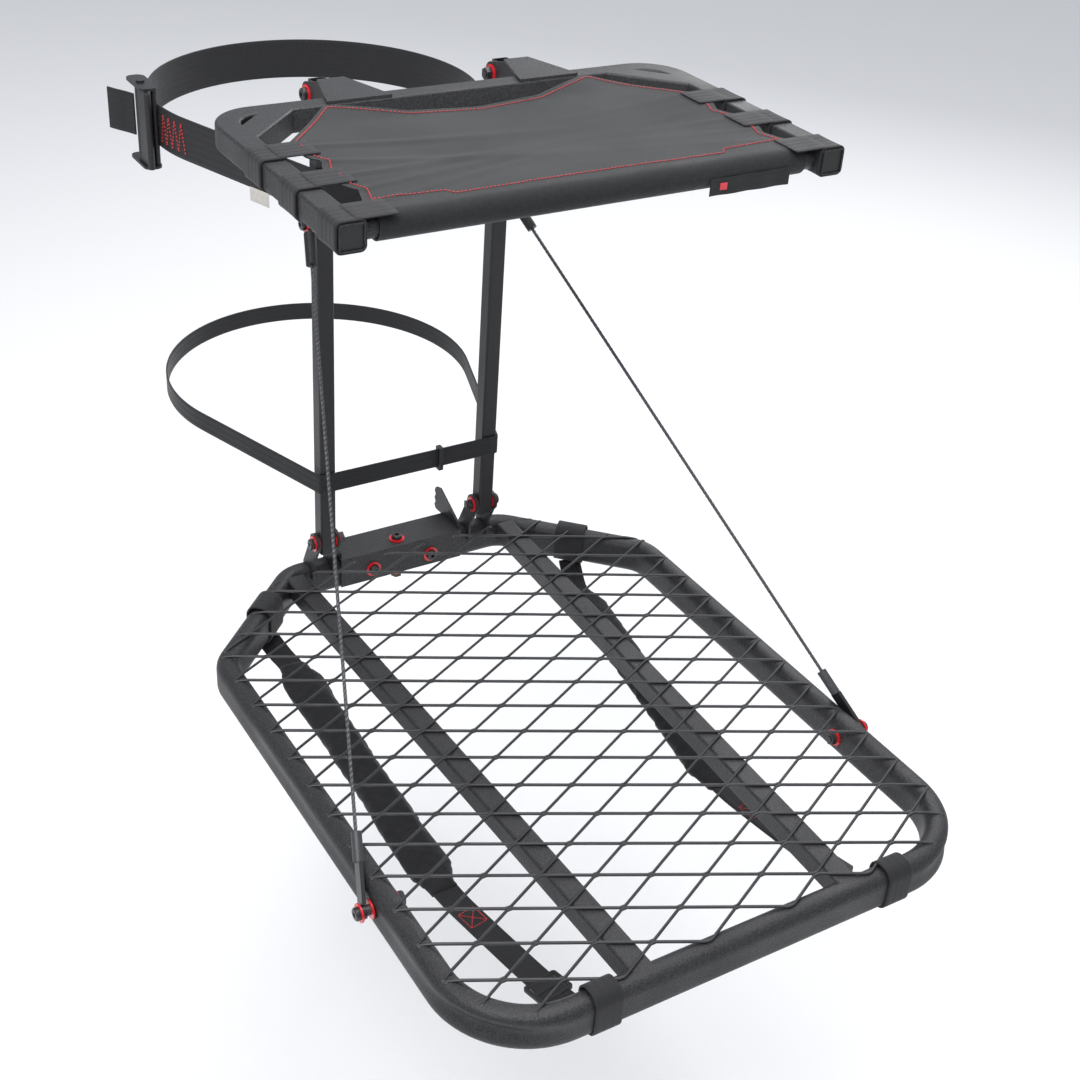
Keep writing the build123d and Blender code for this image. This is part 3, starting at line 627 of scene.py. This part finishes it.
def makeFrame():
    line = roundedRoute(railCorners(), rail["bends"], rail["step"])
    section = roundedSection(rail["wide"], rail["high"], rail["corner"])
    ways = headings(line, closed=True)
    middle = Vector((0, rail["middleY"], line[0].z))
    points, faces = [], []
    for place, way in zip(line, ways):
        out = way.cross(up).normalized()
        if out.dot(place - middle) < 0:
            out.negate()
        depth = caveDepth(place)
        for s in section:
            shape = Vector(s)
            if shape.x > 0:  # only the outer wall folds in, at mid height
                mid = math.exp(-((shape.y - rail["caveHigh"]) / rail["caveTall"]) ** 2)
                shape.x -= depth * mid * eased(shape.x / (rail["wide"] / 2))
            points.append(place + out * shape.x + Vector((0, 0, shape.y)))
    around = len(section)
    for n in range(len(line)):
        m = (n + 1) % len(line)
        for a in range(around):
            b = (a + 1) % around
            faces.append((n * around + a, n * around + b, m * around + b, m * around + a))
    piece = meshPiece("platformRail", points, faces)
    outward(piece)
    smooth(piece, 60)
    dress(piece, "platform", paints["coat"], "powder_coat", "platform_frame")


makeFrame()
print("frame tube made")


# standing surface: expanded metal
net = {"long": 0.099, "short": 0.050, "strand": 0.0030, "thick": 0.0026, "edge": 0.009, "bond": 0.006,
       "bondOffset": 0.0014, "firstRow": -0.721, "rows": 30, "columns": 7, "rearEdge": -0.007, "bend": 0.0945,
       "cutStep": 0.0015, "step": 0.012, "lean": 0.55, "middleZ": -0.0015, "endDrop": 0.0016, "endRun": 0.012,
       "tipRun": 0.004, "weld": 0.0026, "weldShape": (1.25, 1.0, 0.5), "weldDrop": 0.0008}
strandSection = ((-0.5, -0.3), (-0.3, -0.5), (0.3, -0.5), (0.5, -0.3), (0.5, 0.3), (0.3, 0.5), (-0.3, 0.5), (-0.5, 0.3))


def onDeck(x, y):
    low, high = frameBox
    half = high[0] - net["edge"]
    front = low[1] + net["edge"]
    if abs(x) > half or y < front or y > net["rearEdge"]:
        return False
    if abs(x) + y > high[0] + high[1] - rail["diagonalRun"] - net["edge"] * math.sqrt(2):
        return False
    cx, cy = abs(x) - (half - net["bend"]), (front + net["bend"]) - y
    return not (cx > 0 and cy > 0 and math.hypot(cx, cy) > net["bend"])


def strandLine(row):  # one zigzag strand, bonded to its neighbours at each turn
    half, rise = net["long"] / 2, net["short"] / 2
    base = net["firstRow"] + row * rise
    points = []
    for column in range(-net["columns"], net["columns"] + 1):
        x = column * half
        high = (column + row) % 2 == 1
        y = base + (rise - net["bondOffset"] if high else net["bondOffset"])
        flat = net["bond"] / 2
        points += [Vector((x - flat, y, 0)), Vector((x + flat, y, 0))]
    return points


def cutToDeck(points):
    runs, run = [], []
    for p in spaced(points, net["cutStep"]):
        if onDeck(p.x, p.y):
            run.append(p)
        elif run:
            runs.append(run)
            run = []
    if run:
        runs.append(run)
    return [r for r in runs if len(r) > 8]


def strandPiece(run):
    wide, thick = net["strand"], net["thick"]
    keep = [run[0]]
    for a, b, c in zip(run, run[1:], run[2:]):
        if (b - a).normalized().dot((c - b).normalized()) < 0.9995:
            keep.append(b)
    keep.append(run[-1])
    line = [keep[0]]
    for a, b in zip(keep, keep[1:]):
        count = max(1, round((b - a).length / net["step"]))
        line += [a.lerp(b, k / count) for k in range(1, count + 1)]
    ways = headings(line)
    points, faces = [], []
    for n, place in enumerate(line):
        side = ways[n].cross(up).normalized()
        fromEnd = min((place - line[0]).length, (place - line[-1]).length)
        drop = net["endDrop"] * (1 - eased(fromEnd / net["endRun"]))
        tip = 0.6 + 0.4 * eased(fromEnd / net["tipRun"])
        lean = net["lean"] if ways[n].y > 0 else -net["lean"]
        if abs(ways[n].y) < 0.15:
            lean = 0.0
        for dx, dz in strandSection:
            px, pz = dx * wide * tip, dz * thick * tip
            tx = px * math.cos(lean) - pz * math.sin(lean)
            tz = px * math.sin(lean) + pz * math.cos(lean)
            points.append(place + side * tx + up * (tz + net["middleZ"] - drop))
    for n in range(len(line) - 1):
        for a in range(8):
            b = (a + 1) % 8
            faces.append((n * 8 + a, n * 8 + b, (n + 1) * 8 + b, (n + 1) * 8 + a))
    faces.append(tuple(reversed(range(8))))
    last = (len(line) - 1) * 8
    faces.append(tuple(range(last, last + 8)))
    return meshPiece("strand", points, faces)


def makeDeck():
    strands = []
    for row in range(-1, net["rows"] + 1):
        for run in cutToDeck(strandLine(row)):
            strands.append(strandPiece(run))
    welds = []
    bpy.ops.mesh.primitive_uv_sphere_add(segments=8, ring_count=5, radius=net["weld"])
    seed = bpy.context.object
    seed.scale = net["weldShape"]
    settle(seed)
    shape = [v.co.copy() for v in seed.data.vertices]
    skin = [tuple(f.vertices) for f in seed.data.polygons]
    bpy.data.objects.remove(seed)
    for strand in strands:
        verts = strand.data.vertices
        for end in (0, len(verts) - 8):
            spot = sum((verts[end + k].co for k in range(8)), Vector()) / 8 - up * net["weldDrop"]
            welds.append(meshPiece("weld", [p + spot for p in shape], skin))
    piece = joinAll("standingNet", strands + welds)
    outward(piece)
    smooth(piece, 50)
    dress(piece, "platform", paints["strand"], "powder_coat", "platform_deck")


makeDeck()
print("standing surface made")


# straps round the trunk
trunk = {"radius": 0.200, "y": 0.250, "thick": 0.0022, "gap": 0.0017, "corner": 0.0035, "cornerSteps": 6,
         "steps": 90, "step": 0.008}


def trunkRoute():  # plan line of a strap that hugs the posts and the trunk
    low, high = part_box("post_right")
    r, cornerR, lift = trunk["radius"] + trunk["gap"], trunk["corner"], trunk["gap"]
    centre = Vector((0, trunk["y"], 0))
    post = Vector((high[0] - cornerR + lift, low[1] + cornerR - lift, 0))
    gap = centre - post
    turn = math.atan2(gap.y, gap.x)
    spread = math.asin((r - cornerR) / gap.length)
    lean = turn - spread
    way = Vector((math.cos(lean), math.sin(lean), 0))
    normal = Vector((way.y, -way.x, 0))
    startAngle = math.atan2(normal.y, normal.x)
    line = []
    for k in range(trunk["cornerSteps"] + 1):
        angle = -math.pi / 2 + (startAngle + math.pi / 2) * k / trunk["cornerSteps"]
        line.append(post + Vector((math.cos(angle), math.sin(angle), 0)) * cornerR)
    sweep = 2 * (math.pi / 2 - startAngle)
    for k in range(trunk["steps"] + 1):
        angle = startAngle + sweep * k / trunk["steps"]
        line.append(centre + Vector((math.cos(angle), math.sin(angle), 0)) * r)
    line += [Vector((-p.x, p.y, 0)) for p in reversed(line[:trunk["cornerSteps"] + 1])]
    return line


def makeTrunkStraps():
    for name, node in (("lowerTrunkStrap", "lower_strap"), ("upperTrunkStrap", "upper_strap")):
        low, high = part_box(node)
        z, wide = (low[2] + high[2]) / 2, high[2] - low[2]
        line = [p + Vector((0, 0, z)) for p in trunkRoute()]
        closed = line + [line[0]]
        dense = []
        for a, b in zip(closed, closed[1:]):
            count = max(1, round((b - a).length / trunk["step"]))
            dense += [a.lerp(b, k / count) for k in range(count)]
        piece = ribbon(name, dense, up, wide, trunk["thick"], closed=True)
        dress(piece, "posts", paints["webbing"], "webbing", node)


makeTrunkStraps()
print("trunk straps made")


# the same finishes on every CAD part that is kept
keptPaints = {"buckle": "satin", "post": "satin", "cable_eye": "sleeve", "cable_link": "bolt",
              "cable_swage": "zinc", "cable_foot_spacers": "zinc", "seat_arm_plugs": "moulded",
              "lower_strap_keeper": "moulded", "shoulder_slider": "moulded"}
keptEndings = {"bolts": "bolt", "nuts": "bolt", "washers": "red"}


def paintKept():
    for name, piece in nodeObjects.items():
        choices = [paint for ending, paint in keptEndings.items() if name.endswith(ending)]
        choices += [paint for start, paint in keptPaints.items() if name.startswith(start)]
        choice = choices[0] if choices else "coat"
        for place in piece.material_slots:
            place.material = paints[choice]


paintKept()
print("kept parts painted")


# seat sling
sling = {"half": 0.230, "front": -0.384, "top": 0.6216, "roll": 0.0131, "flap": 0.016, "thick": 0.0015,
         "ridge": 0.0016, "sag": 0.006, "rear": -0.11, "across": 110, "topRows": 60, "rollRows": 24}
slingRear = ((0, -0.152), (0.076, -0.143), (0.152, -0.110), (0.230, -0.203))
slingSide = ((-0.110, 0.230), (-0.241, 0.230), (-0.260, 0.222), (-0.281, 0.230), (-0.319, 0.230), (-0.338, 0.222),
             (-0.364, 0.230), (-0.402, 0.230))
slingRidges = ((-0.215, -0.10, 1.0, 0.007), (-0.255, -0.22, 0.8, 0.009), (-0.300, 0.10, 0.9, 0.008),
               (-0.338, 0.22, 0.7, 0.007), (-0.372, 0.30, 0.5, 0.006))  # start, slope, strength, width
hem = {"inset": 0.008, "frontInset": 0.012, "sideRun": 0.17, "across": 0.962, "side": 0.965, "lift": 0.0002,
       "pitch": 0.0042, "long": 0.0030, "fat": 0.0007}


def between(table, at):  # reads a table of (place, value) with straight lines between its rows
    ordered = sorted(table)
    if at <= ordered[0][0]:
        return ordered[0][1]
    for (a, low), (b, high) in zip(ordered, ordered[1:]):
        if at <= b:
            return low + (high - low) * (at - a) / (b - a)
    return ordered[-1][1]


def slingHeight(x, y):
    sx = x / sling["half"]
    rise = 0.0
    for spotY, slope, strong, wide in slingRidges:
        off = y - (spotY + slope * (x + sling["half"]))
        rise += strong * math.exp(-(off / (wide * (1.4 + sx))) ** 2) * eased((0.55 - sx) / 1.2)
        mirrored = y - (spotY + 0.01 + slope * 0.8 * (sling["half"] - x))
        rise += 0.5 * strong * math.exp(-(mirrored / (wide * (1.4 - sx))) ** 2) * eased((0.1 + sx) / 1.2)
    behind = y - sling["front"]
    inner = eased(behind / 0.02)
    sag = (1 - sx * sx) * eased(behind / 0.12) * eased((sling["rear"] - y) / 0.05) * sling["sag"]
    return sling["top"] + sling["ridge"] * rise * inner - sag


def slingRun(s):  # length of the flat top from the rear edge to the front tube
    return between(slingRear, abs(s) * sling["half"]) - sling["front"]


def slingPoint(s, along):  # s across from -1 to 1, along in metres from the rear edge
    run = slingRun(s)
    arc = math.pi * sling["roll"]
    if along <= run:
        y = sling["front"] + run - along
        x = s * between(slingSide, y)
        return Vector((x, y, slingHeight(x, y)))
    x = s * sling["half"]
    rest = along - run
    low = sling["top"] - sling["roll"]
    if rest < arc:
        angle = rest / sling["roll"]
        y = sling["front"] - sling["roll"] * math.sin(angle)
        return Vector((x, y, low + sling["roll"] * math.cos(angle)))
    return Vector((x, sling["front"] + rest - arc, low - sling["roll"]))


def slingPath(count, at):
    return [slingPoint(*at(k / (count - 1))) for k in range(count)]


def hemLines():
    rear = slingPath(160, lambda k: ((-1 + 2 * k) * hem["across"], hem["inset"]))
    front = slingPath(160, lambda k: ((-1 + 2 * k) * hem["across"], slingRun(-1 + 2 * k) - hem["frontInset"]))
    edges = [slingPath(120, lambda k: (sign * hem["side"], hem["inset"] + 0.002 + k * hem["sideRun"]))
             for sign in sides.values()]
    return [rear, *edges, front]


def makeSling():
    across, down = sling["across"], sling["topRows"] + sling["rollRows"]
    rolled = math.pi * sling["roll"] + sling["flap"]
    points, uvs, faces = [], [], []
    for r in range(down + 1):
        for c in range(across + 1):
            s = -1 + 2 * c / across
            run = slingRun(s)
            if r <= sling["topRows"]:
                along = run * r / sling["topRows"]
            else:
                along = run + rolled * (r - sling["topRows"]) / sling["rollRows"]
            points.append(slingPoint(s, along))
            uvs.append((s * sling["half"], along))
    for r in range(down):
        for c in range(across):
            a = r * (across + 1) + c
            faces.append((a, a + 1, a + across + 2, a + across + 1))
    piece = meshPiece("sling", points, faces, uvs)
    addMod(piece, "SOLIDIFY", thickness=sling["thick"], offset=0.0)
    applyMods(piece)
    outward(piece)
    smooth(piece, 60)
    dress(piece, "seat", paints["sling"], "seat_cloth", "seat_fabric")
    lift = up * (sling["thick"] / 2 + hem["lift"])
    for n, line in enumerate(hemLines()):
        row = stitches("hemStitch" + str(n), [p + lift for p in line], upward, hem["pitch"], hem["long"], hem["fat"])
        dress(row, "seat", paints["thread"], "seat_cloth")


makeSling()
print("sling made")


# webbing loops that tie the sling to the seat's arms
def squareLoop(centre, first, second, halfA, halfB, corner, spin=6):  # closed line with rounded corners
    line = []
    for n, (a, b) in enumerate(((1, 1), (-1, 1), (-1, -1), (1, -1))):
        for k in range(spin + 1):
            angle = math.radians(90 * n + 90 * k / spin)
            line.append(centre + first * (a * (halfA - corner) + math.cos(angle) * corner)
                        + second * (b * (halfB - corner) + math.sin(angle) * corner))
    return line


armLoop = {"wide": 0.038, "thick": 0.0022, "reach": 0.0139, "corner": 0.005, "arm": 0.2595, "z": 0.6085,
           "places": (-0.222, -0.300, -0.383), "crown": 0.0004, "tabWide": 0.037, "tabThick": 0.0012, "tabZ": 0.6232,
           "tabX": (0.254, 0.246, 0.238, 0.230, 0.222, 0.214)}


def makeArmLoops():
    outX, alongY, reach = Vector((1, 0, 0)), Vector((0, 1, 0)), armLoop["reach"]
    for side, sign in sides.items():
        bands = []
        for y in armLoop["places"]:
            centre = Vector((sign * armLoop["arm"], y, armLoop["z"]))
            loop = squareLoop(centre, outX, up, reach, reach, armLoop["corner"])
            bands.append(ribbon("loop", loop, alongY, armLoop["wide"], armLoop["thick"], 6, True, armLoop["crown"]))
            tab = [Vector((sign * x, y, armLoop["tabZ"])) for x in armLoop["tabX"]]
            bands.append(ribbon("tab", tab, alongY, armLoop["tabWide"], armLoop["tabThick"], 6))
        piece = joinAll("armLoops_" + side, bands)
        dress(piece, "seat", paints["webbing"], "webbing", "seat_webbing_loops_" + side)


makeArmLoops()
print("arm loops made")


# the upper strap's free end past the buckle, and the zigzag stitching before it
strapEnd = {"line": ((-0.2149, 0.2935), (-0.2195, 0.304), (-0.2259, 0.314), (-0.2310, 0.323), (-0.2345, 0.3305)),
            "thick": 0.0022}
zigzag = {"fromX": -0.1, "fromY": 0.05, "toY": 0.236, "step": 0.006, "half": 0.018, "lift": 0.0014,
          "pitch": 0.0044, "long": 0.0034, "fat": 0.0009}


def awayFromTrunk(point):
    return Vector((point.x, point.y - trunk["y"], 0)).normalized()


def makeStrapDetails():
    low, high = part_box("upper_strap_tail")
    z, wide = (low[2] + high[2]) / 2, high[2] - low[2]
    line = route([Vector((x, y, z)) for x, y in strapEnd["line"]])
    tail = ribbon("strapTail", line, up, wide, strapEnd["thick"])
    dress(tail, "posts", paints["webbing"], "webbing", "upper_strap_tail")
    run = [p for p in trunkRoute() if p.x < zigzag["fromX"] and zigzag["fromY"] < p.y < zigzag["toY"]]
    run.sort(key=lambda p: p.y)
    path = []
    for n, p in enumerate(spaced(run, zigzag["step"])):
        rise = zigzag["half"] if n % 2 else -zigzag["half"]
        path.append(p + awayFromTrunk(p) * zigzag["lift"] + up * (z + rise))
    seam = stitches("strapZigzag", path, awayFromTrunk, zigzag["pitch"], zigzag["long"], zigzag["fat"])
    dress(seam, "posts", paints["thread"], "webbing")


makeStrapDetails()
print("strap details made")


# shoulder straps under the platform
carry = {"thick": 0.0022, "top": 0.0014, "bottom": -0.0487, "rail": 0.0150, "corner": 0.0125, "step": 0.008,
         "rearWide": 0.038, "frontWide": 0.030, "rearStrip": 0.030, "frontStrip": 0.029, "railToCentre": 0.0135,
         "padZ": -0.0655, "underZ": -0.0512, "sliderZ": -0.0645}
carryLines = {
    "left": {"rear": (-0.207, -0.0431), "pad": ((-0.196, -0.093), (-0.210, -0.517)), "slider": (-0.183, -0.678),
             "front": -0.172},
    "right": {"rear": (0.222, -0.0581), "pad": ((0.204, -0.108), (0.143, -0.517)), "slider": (0.167, -0.677),
              "front": 0.178},
}


def wrapRound(name, centre, along, wide):
    across = Vector((-along.y, along.x, 0))
    middle = Vector((centre[0], centre[1], (carry["top"] + carry["bottom"]) / 2))
    tall = (carry["top"] - carry["bottom"]) / 2
    loop = squareLoop(middle, across, up, carry["rail"], tall, carry["corner"])
    return ribbon(name, loop, along, wide, carry["thick"], closed=True)


def makeCarryStraps():
    alongX = Vector((1, 0, 0))
    for side, sign in sides.items():
        spec = carryLines[side]
        diagonal = Vector((sign, -1, 0)).normalized()
        start, end = (Vector((*p, carry["padZ"])) for p in spec["pad"])
        across = (end - start).cross(up).normalized()
        rear = wrapRound("wrap", spec["rear"], diagonal, carry["rearWide"])
        under = Vector((*spec["rear"], carry["underZ"]))
        lead = [under, under.lerp(start, 0.3) - up * 0.002, under.lerp(start, 0.7) - up * 0.003,
                start, start.lerp(end, 0.06)]
        strip = ribbon("strip", spaced(route(lead), carry["step"]), across, carry["rearStrip"], carry["thick"], 6)
        piece = joinAll("shoulderRearWebbing_" + side, [rear, strip])
        dress(piece, "platform", paints["webbing"], "webbing", "shoulder_webbing_rear_" + side)
        frontSpot = (spec["front"], frameBox[0][1] + carry["railToCentre"])
        front = wrapRound("wrap", frontSpot, alongX, carry["frontWide"])
        slider = Vector((*spec["slider"], carry["sliderZ"]))
        under = Vector((*frontSpot, carry["underZ"]))
        lead = [start.lerp(end, 0.94), end, end.lerp(slider, 0.4) - up * 0.001, slider,
                slider.lerp(under, 0.6), under]
        strip = ribbon("strip", spaced(route(lead), carry["step"]), alongX, carry["frontStrip"], carry["thick"], 6)
        piece = joinAll("shoulderFrontWebbing_" + side, [front, strip])
        dress(piece, "platform", paints["webbing"], "webbing", "shoulder_webbing_front_" + side)
        makePad(side, start, end, across)


padShape = {"halfWide": 0.027, "halfThick": 0.0042, "rings": 64, "columns": 16, "endTaper": 0.6, "taperShare": 0.1,
            "voxel": 0.004, "ripple": 0.0003, "cap": 0.005}
inflation = {"frames": 20, "pressure": 1.5, "quality": 6, "stiffness": 30}


def makePad(side, start, end, across):
    rings, columns = padShape["rings"], padShape["columns"]
    points, faces = [], []
    for n in range(rings + 1):
        share = n / rings
        ends = min(eased(share / padShape["taperShare"]), eased((1 - share) / padShape["taperShare"]))
        taper = padShape["endTaper"] + (1 - padShape["endTaper"]) * ends
        middle = start.lerp(end, share)
        for c in range(columns):
            angle = 2 * math.pi * c / columns
            ca, sa = math.cos(angle), math.sin(angle)
            wide = padShape["halfWide"] * taper * math.copysign(abs(ca) ** 0.45, ca)
            tall = padShape["halfThick"] * math.copysign(abs(sa) ** 0.6, sa)
            points.append(middle + across * wide + up * tall)
    for n in range(rings):
        for c in range(columns):
            d = (c + 1) % columns
            faces.append((n * columns + c, n * columns + d, (n + 1) * columns + d, (n + 1) * columns + c))
    faces.append(tuple(reversed(range(columns))))
    faces.append(tuple(range(rings * columns, (rings + 1) * columns)))
    piece = meshPiece("shoulderPad_" + side, points, faces)
    outward(piece)
    inflate(piece)
    smooth(piece, 60)
    dress(piece, "platform", paints["pad"], "pad_cloth", "shoulder_pad_" + side)


def inflate(piece):  # cloth under pressure, with each point's movement capped
    addMod(piece, "REMESH", mode="VOXEL", voxel_size=padShape["voxel"])
    applyMods(piece)
    for vertex in piece.data.vertices:
        x, y = vertex.co.x, vertex.co.y
        vertex.co.z += padShape["ripple"] * math.sin(y * 310 + x * 90) * math.sin(x * 240)
    homes = [v.co.copy() for v in piece.data.vertices]
    scene = bpy.context.scene
    scene.frame_start, scene.frame_end = 1, inflation["frames"]
    cloth = addMod(piece, "CLOTH")
    cloth.settings.use_pressure = True
    cloth.settings.uniform_pressure_force = inflation["pressure"]
    cloth.settings.quality = inflation["quality"]
    cloth.settings.tension_stiffness = inflation["stiffness"]
    cloth.settings.effector_weights.gravity = 0
    cloth.point_cache.frame_start, cloth.point_cache.frame_end = 1, inflation["frames"]
    for frameNumber in range(1, inflation["frames"] + 1):
        scene.frame_set(frameNumber)
    applyMods(piece)
    scene.frame_set(1)
    for vertex, home in zip(piece.data.vertices, homes):
        move = vertex.co - home
        if move.length > padShape["cap"]:
            vertex.co = home + move.normalized() * padShape["cap"]


makeCarryStraps()
print("shoulder straps made")


# a blank woven tag under the sling's front edge, a blank label on the upper strap and cross stitches
tag = {"x": 0.115, "long": 0.095, "steps": 24, "y": -0.3989, "z": 0.5995, "ripple": 0.0006, "wide": 0.017,
       "thick": 0.0007, "markWide": 0.007, "markThick": 0.0004, "markLift": 0.0006}
label = {"places": (0.050, 0.058, 0.066, 0.074, 0.080), "lift": 0.0017, "drop": 0.0068, "wide": 0.0165,
         "thick": 0.0005}
cross = {"share": 0.28, "z": -0.0648, "halfLong": 0.011, "halfWide": 0.010, "pitch": 0.0030, "long": 0.0024,
         "fat": 0.0006, "order": (0, 1, 2, 3, 0, 2, 1, 3)}


def makeTags():
    line = []
    for k in range(tag["steps"] + 1):
        y = tag["y"] + tag["ripple"] * math.sin(k * 0.7)
        line.append(Vector((tag["x"] + tag["long"] * k / tag["steps"], y, tag["z"])))
    cloth = ribbon("slingTag", line, up, tag["wide"], tag["thick"], 4)
    dress(cloth, "seat", paints["webbing"], "webbing")
    spots = [p - Vector((0, tag["markLift"], 0)) for p in line[3:6]]
    mark = ribbon("slingTagMark", spots, up, tag["markWide"], tag["markThick"], 2)
    dress(mark, "seat", paints["redInk"], "seat_cloth")


def makeLabel():
    first, last = trunkRoute()[trunk["cornerSteps"]:trunk["cornerSteps"] + 2]
    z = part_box("upper_strap")[0][2] - label["drop"]
    spots = []
    for y in label["places"]:
        p = first.lerp(last, (y - first.y) / (last.y - first.y))
        spots.append(Vector((-p.x - label["lift"], p.y, z)))
    cloth = ribbon("strapLabel", spots, up, label["wide"], label["thick"], 3)
    dress(cloth, "posts", paints["label"], "webbing")


def makeCrossStitches():
    for side, spec in carryLines.items():
        end, slider = Vector((*spec["pad"][1], 0)), Vector((*spec["slider"], 0))
        middle = end.lerp(slider, cross["share"]) + up * cross["z"]
        heading = (slider - end).normalized()
        along = heading * cross["halfLong"]
        wide = Vector((heading.y, -heading.x, 0)) * cross["halfWide"]
        corners = [middle + along + wide, middle + along - wide, middle - along - wide, middle - along + wide]
        path = [corners[k] for k in cross["order"]]
        seam = stitches("crossStitch_" + side, path, upward, cross["pitch"], cross["long"], cross["fat"])
        dress(seam, "platform", paints["thread"], "webbing")


makeTags()
makeLabel()
makeCrossStitches()
print("tags and cross stitches made")
